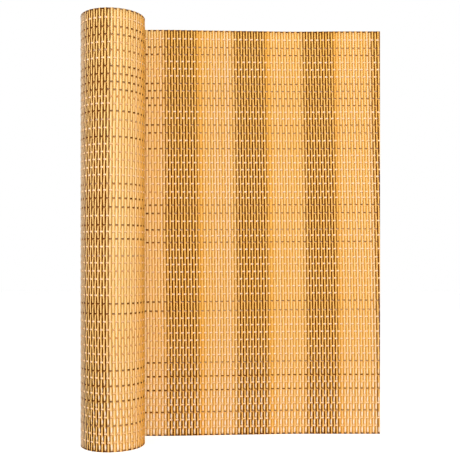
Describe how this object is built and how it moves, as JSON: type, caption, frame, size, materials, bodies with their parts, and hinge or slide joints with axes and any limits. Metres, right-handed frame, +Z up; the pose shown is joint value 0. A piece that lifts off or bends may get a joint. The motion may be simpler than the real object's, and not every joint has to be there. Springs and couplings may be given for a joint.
{
  "type": "woven balcony screen, partly rolled",
  "caption": "Woven plastic-rattan privacy screen for a balcony railing, standing on end with one part wound into a hollow roll and the rest drawn out as a sheet.",
  "frame": {"origin": "middle of the footprint's bounding box, on the floor", "axes": "+Z up along the strips, +X from the roll towards the free end, +Y to the back"},
  "size_m": [0.6504, 0.156, 0.9],
  "materials": {
    "polyrattan": "satin extruded plastic, bamboo coloured with dark brown streaks and pale and dark wefts"
  },
  "bodies": {
    "root": {"woven_screen": "polyrattan"}
  },
  "joints": []
}
